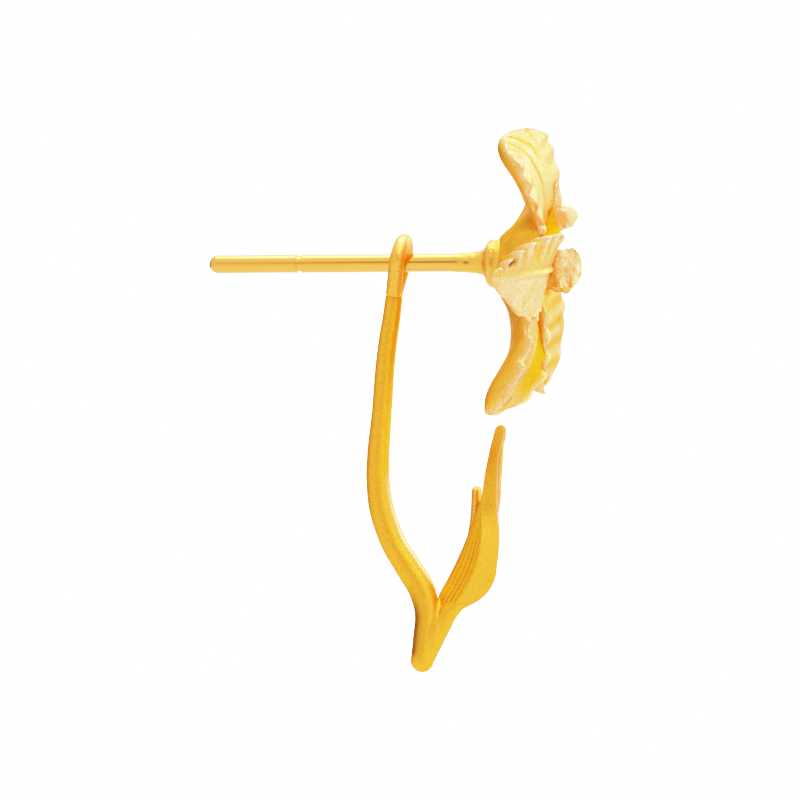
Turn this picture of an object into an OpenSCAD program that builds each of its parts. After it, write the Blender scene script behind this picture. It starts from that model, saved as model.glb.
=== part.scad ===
// Flower stud earring with a leaf drop that hangs on the post behind the ear lobe.
// X runs along the post to the front of the flower, Z is up, the origin is on the post
// axis in the middle of the ear lobe.

/* [Post] */
// Diameter of the straight ear post
post_d = 0.9; // [0.8:0.02:0.96]
// Distance from the origin to the tip of the post
post_tip_x = 12.1; // [10:0.1:14]
// Distance from the origin to the middle of the nut groove
groove_x = 7.45; // [6:0.05:8.5]
// Width of the nut groove
groove_w = 0.25; // [0.1:0.05:0.5]
// Depth of the nut groove
groove_depth = 0.06; // [0.02:0.01:0.12]

/* [Flower] */
// Distance from the origin to the back of the flower
calyx_x = 2.05; // [2.05:0.05:2.3]
// Height of the flower over its petal tips
flower_h = 14.14; // [13.5:0.02:14.8]
// Thickness of a petal at its margin
margin_t = 0.2; // [0.16:0.02:0.3]
// How far the petal margins ripple forwards and back
ripple = 0.13; // [0.05:0.01:0.2]
// Depth of the groove along the middle of each petal
midrib_depth = 0.08; // [0:0.02:0.16]

/* [Leaf drop] */
// Distance from the origin to the ring, which sits behind the lobe
ring_x = -2.32; // [-2.5:0.01:-2.15]
// Wire diameter of the ring
ring_wire_d = 0.76; // [0.6:0.02:0.8]
// Radius of the ring to the middle of its wire
ring_r = 1; // [0.98:0.01:1.1]
// Lean of the ring towards the flower at the top
ring_lean = 12; // [8:1:14]
// Height of the drop from its tail to the top of the ring
drop_h = 21.86; // [21.3:0.02:22.4]
// Wall of the long leaf
leaf_t = 0.36; // [0.26:0.02:0.4]

/* [Hidden] */
post_r = post_d / 2;
ring_wire_r = ring_wire_d / 2;
// tube sides and the number of points across a petal's front
tube_sides = 16;
ring_sides = 14;
petal_points = 9;
petal_stations = 20;
crest_stations = 9;
gold = [0.95, 0.68, 0.2];
polished_gold = [1.0, 0.76, 0.32];

flower_stud();
leaf_drop();

// Smooth step from 0 at a to 1 at b
function ease(a, b, x) = let(u = min(1, max(0, (x - a) / (b - a)))) u * u * (3 - 2 * u);

function unit(v) = v / norm(v);

// A smooth curve through every point or number of a list, t from 0 to 1
function along(list, t) =
    let(
        n = len(list) - 1,
        f = min(t, 0.99999) * n,
        i = floor(f),
        u = f - i,
        b = list[i],
        c = list[i + 1],
        a = i > 0 ? list[i - 1] : 2 * b - c,
        d = i + 2 <= n ? list[i + 2] : 2 * c - b
    )
    0.5 * (2 * b + (c - a) * u + (2 * a - 5 * b + 4 * c - d) * u * u
        + (3 * b - a - 3 * c + d) * u * u * u);

// A closed solid through a list of rings that have the same number of points
module skin(rings) {
    n = len(rings[0]);
    last = len(rings) - 1;
    points = [for (ring = rings) for (p = ring) p];
    walls = [
        for (i = [0 : last - 1])
            for (j = [0 : n - 1])
                let(a = i * n + j, b = i * n + (j + 1) % n)
                    for (face = [[a, b, b + n], [a, b + n, a + n]]) face
    ];
    start = [for (j = [n - 1 : -1 : 0]) j];
    end = [for (j = [0 : n - 1]) last * n + j];
    polyhedron(points, concat([start], walls, [end]), convexity = 8);
}

// A round bar along a list of points with a list of radii, flattened by squash along wide.
// Both ends are rounded, dome is how far they stand out as a part of the radius
module tube(path, radii, stations, squash = 1, dome = 1, wide = [0, 1, 0], sides = tube_sides) {
    domes = [-80, -50, -25];
    steps = concat(
        [for (b = domes) [0, b]],
        [for (i = [0 : stations]) [i / stations, 0]],
        [for (k = [2 : -1 : 0]) [1, -domes[k]]]
    );
    rings = [
        for (step = steps)
            let(
                t = step[0],
                run = unit(along(path, min(1, t + 0.01)) - along(path, max(0, t - 0.01))),
                deep = unit(cross(run, wide)),
                full = along(radii, t),
                p = along(path, t) + run * full * dome * sin(step[1]),
                r = full * cos(step[1])
            )
            [
                for (j = [0 : sides - 1])
                    let(a = 360 * j / sides)
                        p + r * (cos(a) * deep + sin(a) * squash * wide)
            ]
    ];
    skin(rings);
}

// A petal: face and back are its front and back lines as [forward, outward] points, angle is
// its place round the flower from the top towards the near side, -Y
module petal(angle, face, back, half_widths, cup, waves, phase, roll = 0, stations = petal_stations) {
    out = [0, -sin(angle), cos(angle)];
    side = [0, -cos(angle), -sin(angle)];
    rings = [
        for (i = [0 : stations])
            let(
                t0 = i / stations,
                t = 0.7 * t0 + 0.3 * sin(90 * t0),
                f = along(face, t),
                b = along(back, t),
                up2 = unit(f - b),
                up = [up2[0], 0, 0] + up2[1] * out,
                tip = sqrt(max(0, 1 - pow(max(0, t - 0.72) / 0.28, 2.3))),
                end = sqrt(max(0.004, 1 - pow(max(0, t - 0.8) / 0.2, 3))),
                thick = norm(f - b) * (0.35 + 0.65 * end) * end,
                mid = [f[0], 0, 0] + f[1] * out - up * norm(f - b) * (1 - end) / 2,
                grown = ease(0.15, 0.4, t),
                turn = roll * ease(0, 0.5, t),
                w = along(half_widths, t) * max(0.06, tip)
            )
            [
                for (k = [0 : 2 * petal_points - 3])
                    let(
                        front = k < petal_points,
                        // evenly spaced from -1 to 1, then back, closer at the margins
                        e = front ? -1 + 2 * k / (petal_points - 1)
                            : 3 - 2 * k / (petal_points - 1),
                        s = 0.4 * e + 0.6 * sin(90 * e),
                        a = abs(s),
                        lag = s < 0 ? 120 : 0,
                        wave = sin(360 * waves * t + phase + lag),
                        groove = midrib_depth * exp(-pow(w * s / 0.14, 2)) * (1 - t),
                        lift = cup * ease(0, 0.3, t) * pow(a, 1.4) * tip
                            + ripple * grown * pow(a, 3) * wave * (0.4 + 0.6 * tip),
                        top = lift - groove,
                        bottom = lift * a * a - thick * pow(max(0, 1 - pow(a, 2.2)), 0.8)
                            - margin_t * end * sqrt(max(0, 1 - pow(a, 10))),
                        ripple_w = 1 + 0.035 * grown * a
                            * sin(360 * waves * t + phase + 70 + lag),
                        across = w * s * ripple_w,
                        high = front ? top : bottom
                    )
                    mid + (across * cos(turn) - high * sin(turn)) * side
                        + (across * sin(turn) + high * cos(turn)) * up
            ]
    ];
    // a crest faces outwards where a petal faces forwards, so its rings run the other way
    run = face[1] - face[0];
    up = face[0] - back[0];
    skin(run[0] * up[1] > run[1] * up[0] ? [for (i = [stations : -1 : 0]) rings[i]] : rings);
}

// Half widths that most petals share, from the claw to the tip
petal_w = [0.8, 1.2, 1.7, 2.1, 2.25, 2.05, 1.6];
// those of the near lower petal, which ends narrower
low_petal_w = [0.8, 1.2, 1.7, 2.1, 2.2, 1.75, 1.05];
// and those of the two narrower side petals
side_petal_w = [0.8, 1.1, 1.5, 1.9, 2.0, 1.45, 0.6];

module petals() {
    // near upper
    petal(32, [[3.3, 0.5], [4.5, 1.2], [5.1, 2.2], [5.2, 3.5], [4.98, 4.85], [4.48, 5.98], [3.5, 6.8]],
        [[2.9, 1.2], [3.75, 1.95], [4.45, 2.8], [4.45, 3.7], [4.12, 4.85], [3.45, 5.85], [2.9, 6.52]],
        petal_w, cup = 0.33, waves = 6.3, phase = 17, roll = -5);
    // far upper
    petal(-28, [[3.3, 0.5], [4.3, 1.2], [5.2, 2.3], [5.1, 3.4], [4.4, 4.8], [4.0, 6.0], [3.6, 6.8]],
        [[2.85, 1.2], [3.5, 2.0], [3.9, 2.8], [3.95, 3.7], [3.65, 4.9], [3.3, 6.0], [3.0, 6.7]],
        petal_w, cup = 0.3, waves = 6.1, phase = 75, roll = 5);
    // near side
    petal(99, [[3.4, 0.5], [4.85, 1.3], [5.5, 2.4], [5.65, 3.5], [5.35, 4.5], [4.55, 5.7], [3.3, 6.6]],
        [[2.9, 1.2], [3.5, 1.9], [4.05, 2.6], [4.3, 3.4], [4.2, 4.3], [3.7, 5.4], [3.0, 6.3]],
        side_petal_w, cup = 0.45, waves = 6.7, phase = 130, roll = -12);
    // far side
    petal(270, [[3.3, 0.5], [4.2, 1.2], [4.5, 2.2], [4.4, 3.3], [4.1, 4.5], [3.7, 5.6], [3.0, 6.4]],
        [[2.7, 1.2], [3.0, 1.9], [3.35, 2.6], [3.4, 3.4], [3.3, 4.3], [3.0, 5.4], [2.5, 6.2]],
        side_petal_w, cup = 0.4, waves = 6.4, phase = 300);
    // near lower
    petal(156, [[3.2, 0.5], [4.2, 1.25], [4.55, 2.3], [4.75, 3.6], [4.6, 5.0], [3.9, 6.6], [2.7, 7.93]],
        [[2.6, 1.2], [3.0, 1.75], [3.45, 2.65], [3.65, 3.8], [3.55, 5.1], [2.95, 6.6], [1.98, 7.66]],
        low_petal_w, cup = 0.4, waves = 6.8, phase = 190, roll = -9);
    // far lower
    petal(208, [[3.3, 0.5], [4.3, 1.2], [4.85, 2.2], [4.9, 3.5], [4.75, 4.7], [4.6, 5.9], [4.45, 7.0]],
        [[2.7, 1.2], [3.1, 2.0], [3.6, 2.8], [3.8, 3.7], [3.9, 4.8], [3.8, 5.8], [3.5, 6.8]],
        petal_w, cup = 0.35, waves = 6.2, phase = 246, roll = 6);
}

// Half widths of the frilled inner crests
crest_w = [0.6, 0.8, 0.9, 0.93, 0.85];

module crests() {
    // upper crest, a narrow tongue
    petal(4, [[3.6, 1.1], [4.7, 1.8], [5.5, 2.45], [6.1, 2.5], [6.65, 2.2]],
        [[3.9, 0.4], [4.9, 0.95], [5.6, 1.55], [6.15, 1.8], [6.5, 1.85]],
        [0.6, 0.7, 0.75, 0.8, 0.75], cup = 0.12, waves = 2.2, phase = 11, stations = crest_stations);
    // near lower crest, a frilled scoop
    petal(100, [[3.6, 1.0], [4.9, 1.5], [5.8, 1.9], [6.45, 2.1], [7.0, 2.2]],
        [[3.9, 0.4], [5.0, 0.8], [5.9, 1.15], [6.5, 1.4], [6.9, 1.8]],
        crest_w, cup = 0.5, waves = 3.6, phase = 70, stations = crest_stations);
    // far lower crest
    petal(257, [[3.6, 1.0], [4.7, 1.5], [5.3, 1.9], [5.8, 2.1], [6.2, 2.2]],
        [[3.9, 0.4], [4.8, 0.8], [5.4, 1.15], [5.9, 1.4], [6.2, 1.8]],
        crest_w, cup = 0.5, waves = 3.6, phase = 126, stations = crest_stations);
}

// The collar at the back and the throat that the petals spread from
module calyx() {
    // the collar sits a little low on the post
    translate([0, 0, -0.07])
        rotate([0, 90, 0])
            rotate_extrude($fn = 26)
                polygon([
                    [0, calyx_x], [0.72, calyx_x], [1.0, calyx_x + 0.08], [1.14, calyx_x + 0.25],
                    [1.18, 2.7], [1.4, 3.1], [1.8, 3.6], [2.2, 4.05], [2.1, 4.35], [0.9, 4.3], [0, 4.1]
                ]);
}

module flower_head() {
    resize([0, 0, flower_h]) {
        calyx();
        petals();
        crests();
    }
}

// Straight post with a rounded tip, a nut groove between two raised lips and a solder flare
module post() {
    lip_w = 0.16;
    lip_h = 0.021;
    floor_r = post_r - groove_depth;
    tip_x = -post_tip_x + post_r;
    flare_x = 0.5;
    wall = groove_w / 2;
    shoulder = wall + lip_w;
    // half of the groove and its raised lip, as (radius, distance from the groove's middle)
    half_groove = [
        [floor_r, 0], [floor_r + 0.003, 0.4 * wall], [floor_r + 0.02, 0.85 * wall],
        [post_r + 0.5 * lip_h, 1.1 * wall], [post_r + lip_h, wall + 0.4 * lip_w],
        [post_r + 0.8 * lip_h, wall + 0.7 * lip_w], [post_r, shoulder]
    ];
    translate([tip_x, 0, 0]) sphere(r = post_r, $fn = 48);
    rotate([0, 90, 0]) {
        translate([0, 0, tip_x]) cylinder(r = post_r, h = -groove_x - shoulder - tip_x, $fn = 48);
        translate([0, 0, -groove_x])
            rotate_extrude($fn = 48)
                polygon(concat(
                    [[0, -shoulder]],
                    [for (i = [6 : -1 : 1]) [half_groove[i][0], -half_groove[i][1]]],
                    half_groove,
                    [[0, shoulder]]
                ));
        translate([0, 0, -groove_x + shoulder])
            cylinder(r = post_r, h = groove_x - shoulder + calyx_x, $fn = 48);
        // the solder flare, slight at first and steep at the collar
        translate([0, 0, flare_x])
            cylinder(r1 = post_r, r2 = post_r + 0.08, h = calyx_x - flare_x, $fn = 48);
        translate([0, 0, calyx_x - 0.45])
            cylinder(r1 = post_r + 0.04, r2 = post_r + 0.3, h = 0.55, $fn = 48);
    }
}

module flower_stud() {
    color(polished_gold) post();
    color(gold) flower_head();
}

// Wire ring round the post: half a ring over the top and two legs that close on the stem
module ring() {
    centre_z = 0.06;
    near_foot = [0, -0.5, -1.35];
    far_foot = [0, 0.3, -1.75];
    near_side = [0, -ring_r, 0];
    far_side = [0, ring_r, 0];
    over = [for (a = [22.5 : 22.5 : 157.5]) [0, -ring_r * cos(a), ring_r * sin(a)]];
    path = concat(
        [near_foot, (near_foot + near_side) / 2, near_side],
        over,
        [far_side, (far_foot + far_side) / 2, far_foot]
    );
    translate([ring_x, 0, centre_z])
        rotate([0, ring_lean, 0])
            tube(path, [for (p = path) ring_wire_r], stations = 25, wide = [1, 0, 0],
                sides = ring_sides);
}

module stem() {
    tube([
            [-2.58, 0, -1.75], [-2.78, 0, -2.75], [-2.93, 0, -3.7], [-3.08, 0, -4.9], [-3.18, 0, -6.1],
            [-3.26, 0, -7.3], [-3.36, 0, -8.4], [-3.45, 0, -9.6], [-3.47, 0, -10.8], [-3.28, 0, -12.3],
            [-2.72, 0, -13.9], [-1.96, 0, -15.15], [-1.26, 0, -16.3], [-0.98, 0, -17.5],
            [-1.1, 0, -18.9], [-1.24, 0, -20.1]
        ],
        [
            0.43, 0.45, 0.47, 0.48, 0.49, 0.5, 0.53, 0.57, 0.59, 0.62, 0.63, 0.66, 0.66, 0.61, 0.58, 0.57
        ], stations = 23, dome = 0.6);
}

// The leaf stalk that lies against the tail of the stem
module petiole() {
    tube([[0.5, -0.1, -17.05], [0.07, -0.05, -17.5], [-0.29, 0, -18.2], [-0.65, 0, -19.0], [-1.0, 0, -19.8]],
        [0.4, 0.48, 0.48, 0.42, 0.38], stations = 7);
}

// Long folded leaf: its keel and its near and far margins as points from base to tip
module long_leaf() {
    keel = [
        [0.1, -0.35, -17.5], [0.72, -0.8, -16.8], [1.25, -0.95, -15.95], [1.68, -0.95, -14.95],
        [1.88, -0.9, -13.6], [1.78, -0.6, -12.1], [1.8, -0.2, -10.85], [2.0, 0, -9.6],
        [2.25, 0.05, -8.75], [2.5, 0, -8.22]
    ];
    near = [
        [0.6, 0.05, -17.4], [1.75, 0.1, -16.75], [2.36, 0.1, -15.95], [2.58, 0, -14.95],
        [2.7, -0.1, -13.6], [2.82, -0.4, -12.1], [2.87, -0.6, -10.85], [2.97, -0.55, -9.6],
        [3.03, -0.35, -8.75], [2.9, -0.16, -8.22]
    ];
    far = [
        [-0.65, 0.1, -17.3], [-0.4, 0.25, -16.55], [-0.05, 0.5, -15.85], [0.4, 0.55, -14.95],
        [0.98, 0.6, -13.6], [1.5, 0.8, -12.1], [2.62, 0.8, -10.85], [2.86, 0.65, -9.6],
        [2.93, 0.45, -8.75], [2.9, 0.16, -8.22]
    ];
    stations = 20;
    half = 6;
    rings = [
        for (i = [0 : stations])
            let(
                t = i / stations,
                k = along(keel, t),
                n = along(near, t),
                f = along(far, t),
                // thinner where the two flanks come close
                wall = min(leaf_t, 0.36 * norm(f - n)),
                inward = unit((n + f) / 2 - k),
                across = unit(f - n)
            )
            [
                for (j = [0 : 4 * half - 1])
                    let(
                        outer = j <= 2 * half,
                        s = outer ? j / half - 1 : 3 - j / half,
                        a = abs(s),
                        edge = s < 0 ? n : f,
                        // the fold is rounded, the margins are straight
                        bend = 0.12 * (1 - a) * (1 - a),
                        p = k + (edge - k) * a + inward * bend,
                        thick = wall * sqrt(max(0, 1 - pow(a, 6))),
                        inner = unit(inward * (1 - a) - sign(s) * across * 0.7 * a)
                    )
                    outer ? p : p + thick * inner
            ]
    ];
    skin(rings);
}

// Short leaf behind the long one
module short_leaf() {
    tube([
            [0.3, 0.35, -16.8], [0.8, 0.6, -15.6], [1.12, 0.85, -14.1], [1.32, 1.05, -12.9],
            [1.34, 1.15, -11.6]
        ],
        [0.25, 0.26, 0.26, 0.24, 0.22], stations = 9, squash = 2);
}

module leaf_drop() {
    color(gold)
        resize([0, 0, drop_h]) {
            ring();
            stem();
            petiole();
            long_leaf();
            short_leaf();
        }
}
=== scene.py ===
import math

import bpy
import numpy as np
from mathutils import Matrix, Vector


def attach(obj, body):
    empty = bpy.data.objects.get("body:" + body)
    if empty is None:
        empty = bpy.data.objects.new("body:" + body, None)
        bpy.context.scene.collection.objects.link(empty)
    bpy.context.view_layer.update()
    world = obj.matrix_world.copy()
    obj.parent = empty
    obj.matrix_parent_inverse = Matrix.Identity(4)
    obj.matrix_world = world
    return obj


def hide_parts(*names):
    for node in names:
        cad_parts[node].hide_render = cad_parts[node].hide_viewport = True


# A gold flower stud with a leaf drop behind the lobe. Shapes are worked out in millimetres,
# X along the post to the front of the flower, Z up, and turned to metres in make_piece.
MM = 0.001
TAU = 2 * math.pi

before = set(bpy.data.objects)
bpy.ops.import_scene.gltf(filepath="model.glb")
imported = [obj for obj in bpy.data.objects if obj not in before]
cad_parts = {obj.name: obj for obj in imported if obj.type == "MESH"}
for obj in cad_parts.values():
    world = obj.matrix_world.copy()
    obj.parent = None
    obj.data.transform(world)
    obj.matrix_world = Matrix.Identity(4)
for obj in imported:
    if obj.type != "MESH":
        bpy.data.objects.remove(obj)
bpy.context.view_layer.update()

# the two solids: the body that a piece rides on, the node that it replaces and its slot
STUD = ("stud", "flower_stud", "satin_gold")
DROP = ("drop", "leaf_drop", "drop_gold")


# ---------------------------------------------------------------- curves

def ease(a, b, x):
    """Smooth step from 0 at a to 1 at b."""
    u = np.clip((np.asarray(x, float) - a) / (b - a), 0, 1)
    return u * u * (3 - 2 * u)


def span(x, start, full, fade, end):
    """1 over a span of x, rising from start to full and falling from fade to end."""
    return ease(start, full, x) * (1 - ease(fade, end, x))


def hump(x, width):
    """A smooth bump, 1 high at 0."""
    return np.exp(-(x / width) ** 2)


def rounded_off(x, start, power, least=0.0):
    """1 up to start and down to least at 1, the way that a rounded end narrows."""
    past = np.clip(x - start, 0, 1) / (1 - start)
    return np.sqrt(np.clip(1 - past**power, least, 1))


def unit(v):
    """Vectors brought to length 1."""
    return v / np.maximum(np.linalg.norm(v, axis=-1, keepdims=True), 1e-12)


def along(points, t):
    """A smooth curve through every point or number of a list, t from 0 to 1."""
    p = np.array(points, float)
    flat = p.ndim == 1
    if flat:
        p = p[:, None]
    n = len(p) - 1
    p = np.vstack([2 * p[0] - p[1], p, 2 * p[-1] - p[-2]])
    f = np.clip(np.asarray(t, float) * n, 0, n - 1e-9)
    i = f.astype(int)
    u = (f - i)[..., None]
    a, b, c, d = p[i], p[i + 1], p[i + 2], p[i + 3]
    q = 0.5 * (2 * b + (c - a) * u + (2 * a - 5 * b + 4 * c - d) * u**2
               + (3 * b - a - 3 * c + d) * u**3)
    return q[..., 0] if flat else q


def length_of(points):
    """The length of a line through points."""
    return np.linalg.norm(np.diff(points, axis=0), axis=1).sum()


def sway(x, y, seed, waves=7, scale=1.0):
    """Soft unevenness about 1 high, from a few waves in seeded directions."""
    rng = np.random.default_rng(seed)
    total = np.zeros(np.broadcast(x, y).shape)
    for _ in range(waves):
        turn, phase, pitch = rng.uniform(0, TAU), rng.uniform(0, TAU), rng.uniform(0.6, 1.7)
        total = total + np.sin((x * math.cos(turn) + y * math.sin(turn)) * pitch * scale + phase)
    return total / math.sqrt(waves)


# ---------------------------------------------------------------- meshes

def skin_faces(rows, sides):
    """Quads of a skin over rings of points, with a face over each end."""
    i, j = np.meshgrid(np.arange(rows - 1), np.arange(sides), indexing="ij")
    k = (j + 1) % sides
    quads = np.stack([i * sides + j, i * sides + k, (i + 1) * sides + k, (i + 1) * sides + j], -1)
    first = list(range(sides))[::-1]
    last = [(rows - 1) * sides + q for q in range(sides)]
    return quads.reshape(-1, 4).tolist() + [first, last]


def make_piece(name, solid, rings, finish, paint, chart, inside_out=False):
    """A smooth mesh piece over rings of points in mm. paint holds named values from 0 to 1, one
    for the piece or one for each point, and chart a place in mm on the surface for each point."""
    body, node, slot = solid
    points = rings.reshape(-1, 3) * MM
    faces = skin_faces(*rings.shape[:2])
    if inside_out:
        faces = [face[::-1] for face in faces]
    mesh = bpy.data.meshes.new(name)
    mesh.from_pydata(points.tolist(), [], faces)
    mesh.update()
    for layer, values in {"shade_and_stain": 0, **paint}.items():
        drawn = mesh.attributes.new(layer, "FLOAT", "POINT")
        drawn.data.foreach_set("value", np.float32(np.zeros(len(points)) + np.ravel(values)))
    corners = np.empty(len(mesh.loops), np.int32)
    mesh.loops.foreach_get("vertex_index", corners)
    surface = mesh.uv_layers.new(name="surface")
    surface.data.foreach_set("uv", np.float32(chart.reshape(-1, 2))[corners].ravel())
    mesh.shade_smooth()
    mesh.materials.append(finish)
    piece = bpy.data.objects.new(name, mesh)
    bpy.context.scene.collection.objects.link(piece)
    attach(piece, body)
    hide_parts(node)
    return piece


# the tilts of the rings that round off a bar's end, and the step that its direction is taken over
DOME_TILTS = np.radians([-86, -74, -60, -44, -28, -13])
NEARBY = 0.005


def bar(path, radii, stations, sides, squash=1.0, dome=1.0, wide=(0, 1, 0), relief=None):
    """Rings of a round bar with rounded ends, their chart, and where along the bar (0 to 1) and
    round it (an angle) each point is. squash is how wide it is in the direction wide for its
    depth, and dome how far its ends stand out for their radius."""
    t = np.linspace(0, 1, stations + 1)
    at_start = np.zeros(len(DOME_TILTS))
    ts = np.concatenate([at_start, t, at_start + 1])
    tilt = np.concatenate([DOME_TILTS, 0 * t, -DOME_TILTS[::-1]])
    run = unit(along(path, np.minimum(1, ts + NEARBY)) - along(path, np.maximum(0, ts - NEARBY)))
    side = np.broadcast_to(np.array(wide, float), run.shape)
    deep = unit(np.cross(run, side))
    full = along(radii, ts)
    middle = along(path, ts) + run * (full * dome * np.sin(tilt))[:, None]
    length = length_of(along(path, t))
    tt, aa = np.meshgrid(ts, np.linspace(0, TAU, sides, endpoint=False), indexing="ij")
    r = (full * np.cos(tilt))[:, None]
    if relief is not None:
        r = r * (1 + relief(tt, aa, length))
    rings = (middle[:, None] + (r * np.cos(aa))[..., None] * deep[:, None]
             + (r * np.sin(aa) * squash)[..., None] * side[:, None])
    return rings, np.stack([aa * full.mean(), tt * length], -1), tt, aa


# the least radius that a turned piece closes to, and the radius that its chart is drawn for
CLOSED_R, CHART_R = 0.002, 0.45


def turned(profile, steps, sides, lumps=None, tall=1.0, drop=0.0):
    """Rings of a turned piece along X from (x, radius) points, their chart, and the x and the
    angle round of each point."""
    x, r = along(profile, np.linspace(0, 1, steps)).T
    xx, aa = np.meshgrid(x, np.linspace(0, TAU, sides, endpoint=False), indexing="ij")
    rr = np.maximum(r, CLOSED_R)[:, None] + 0 * aa
    if lumps is not None:
        rr = rr + lumps(xx, aa, rr)
    rings = np.stack([xx, -rr * np.sin(aa), (rr * np.cos(aa) + drop) * tall], -1)
    return rings, np.stack([aa * CHART_R, xx], -1), xx, aa


# ---------------------------------------------------------------- finishes

# the mix node's sockets for colours, by number, as its sockets for numbers have the same names
MIX_AMOUNT, MIX_FIRST, MIX_SECOND, MIX_RESULT = 0, 6, 7, 2


class Wire:
    """A socket that shader sums are written with."""

    def __init__(self, bench, socket):
        self.bench, self.socket = bench, socket

    def sum(self, operation, first, second):
        return self.bench.add("ShaderNodeMath", {"operation": operation}, {0: first, 1: second})

    def __add__(self, other): return self.sum("ADD", self, other)
    def __radd__(self, other): return self.sum("ADD", other, self)
    def __sub__(self, other): return self.sum("SUBTRACT", self, other)
    def __rsub__(self, other): return self.sum("SUBTRACT", other, self)
    def __mul__(self, other): return self.sum("MULTIPLY", self, other)
    def __rmul__(self, other): return self.sum("MULTIPLY", other, self)
    def __pow__(self, other): return self.sum("POWER", self, other)


class Bench:
    """A material or a world with its nodes."""

    def __init__(self, owner, shader="Principled BSDF"):
        self.owner = owner
        owner.use_nodes = True
        self.tree = owner.node_tree
        self.shader = self.tree.nodes[shader]

    def add(self, kind, settings=None, sockets=None, out=0):
        """A node of a type, with its settings, then the values or wires of its sockets."""
        node = self.tree.nodes.new(kind)
        for key, value in (settings or {}).items():
            setattr(node, key, value)
        for key, value in (sockets or {}).items():
            self.feed(node.inputs[key], value)
        return Wire(self, node.outputs[out])

    def feed(self, socket, value):
        if isinstance(value, Wire):
            self.tree.links.new(value.socket, socket)
        else:
            socket.default_value = value

    def set(self, **values):
        """Values or wires for the shader's own sockets, named with _ for a space."""
        for key, value in values.items():
            self.feed(self.shader.inputs[key.replace("_", " ")], value)

    def blend(self, amount, first, second):
        return self.add("ShaderNodeMix", {"data_type": "RGBA"},
                        {MIX_AMOUNT: amount, MIX_FIRST: first, MIX_SECOND: second},
                        out=MIX_RESULT)

    def step(self, value, low, top, at_low=0.0, at_top=1.0):
        """A smooth step from one number below low to another above top."""
        return self.add("ShaderNodeMapRange", {"interpolation_type": "SMOOTHSTEP"},
                        {"Value": value, "From Min": low, "From Max": top, "To Min": at_low,
                         "To Max": at_top})

    def place(self):
        return self.add("ShaderNodeTexCoord", out="Object")

    def painted(self, layer):
        return self.add("ShaderNodeAttribute", {"attribute_name": layer}, out="Fac")

    def surface(self, along_scale, across_scale):
        """The chart's places, stretched to draw grain along or across a piece."""
        chart = self.add("ShaderNodeUVMap", {"uv_map": "surface"})
        return self.add("ShaderNodeMapping", {},
                        {"Vector": chart, "Scale": (across_scale, along_scale, 1)})

    def cloud(self, where, scale, detail=3, rough=0.55):
        """Noise of scale patches to a metre of places, or to a millimetre of the chart's."""
        return self.add("ShaderNodeTexNoise", {},
                        {"Vector": where, "Scale": scale, "Detail": detail, "Roughness": rough})

    def bump(self, height, distance, strength):
        return self.add("ShaderNodeBump", {},
                        {"Height": height, "Distance": distance, "Strength": strength})


# painted shade: the deeper gold of folds, grooves, corners and forks
SHADED_GOLD = (0.95, 0.52, 0.008, 1)
# painted reflection: the saturated yellow that the gold takes from nearby gold
REFLECTED_YELLOW_GOLD = (0.98, 0.62, 0.0, 1)
WARM_GOLD = (0.95, 0.48, 0.025, 1)
STREAK_GOLD = (0.96, 0.52, 0.05, 1)
# paler gold of brushed faces, also used for painted highlights
PALE_HIGHLIGHT_GOLD = (1.0, 0.665, 0.31, 1)
GRAIN_GOLD = (0.78, 0.27, 0.01, 1)
WIRE_GOLD = (0.93, 0.46, 0.05, 1)
DRAWN_GOLD = (0.95, 0.51, 0.085, 1)
SOLDER_GOLD = (0.96, 0.54, 0.08, 1)
# painted highlights and sparkles
SPARK_GOLD = (1.0, 0.82, 0.48, 1)
GRAZED_GOLD = (1.0, 0.80, 0.42, 1)
# darkest brown: mostly painted shade and painted dark reflection, also a darker band on the collar
# and a faint tint on the leaf
SHADE_AND_TARNISH = (0.35, 0.08, 0.008, 1)


def polished_gold():
    """The post: drawn wire, polished, with faint lengthwise lines, and rougher where soldered."""
    b = Bench(bpy.data.materials.new("polished_gold"))
    lines = b.cloud(b.surface(0.08, 9), 2.0, detail=4)
    where, solder = b.place(), b.painted("solder")
    lumps = b.cloud(where, 1800, detail=4)
    pits = b.cloud(where, 6000)
    wire = b.blend(lines, WIRE_GOLD, DRAWN_GOLD)
    skin = b.blend(solder, wire, b.blend(lumps, WARM_GOLD, SOLDER_GOLD))
    # darkened by a painted reflection on the flare and by a darker band on the collar
    b.set(Base_Color=b.blend(b.painted("shade_and_stain"), skin, SHADE_AND_TARNISH), Metallic=1.0,
          Roughness=0.08 + 0.07 * lines + solder * (0.16 + 0.22 * lumps),
          Coat_Weight=0.85, Coat_Roughness=0.1,
          Normal=b.bump(lines * 0.035 + solder * (lumps * 0.7 + pits * 0.3), 0.0001, 0.6))
    return b.owner


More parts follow.
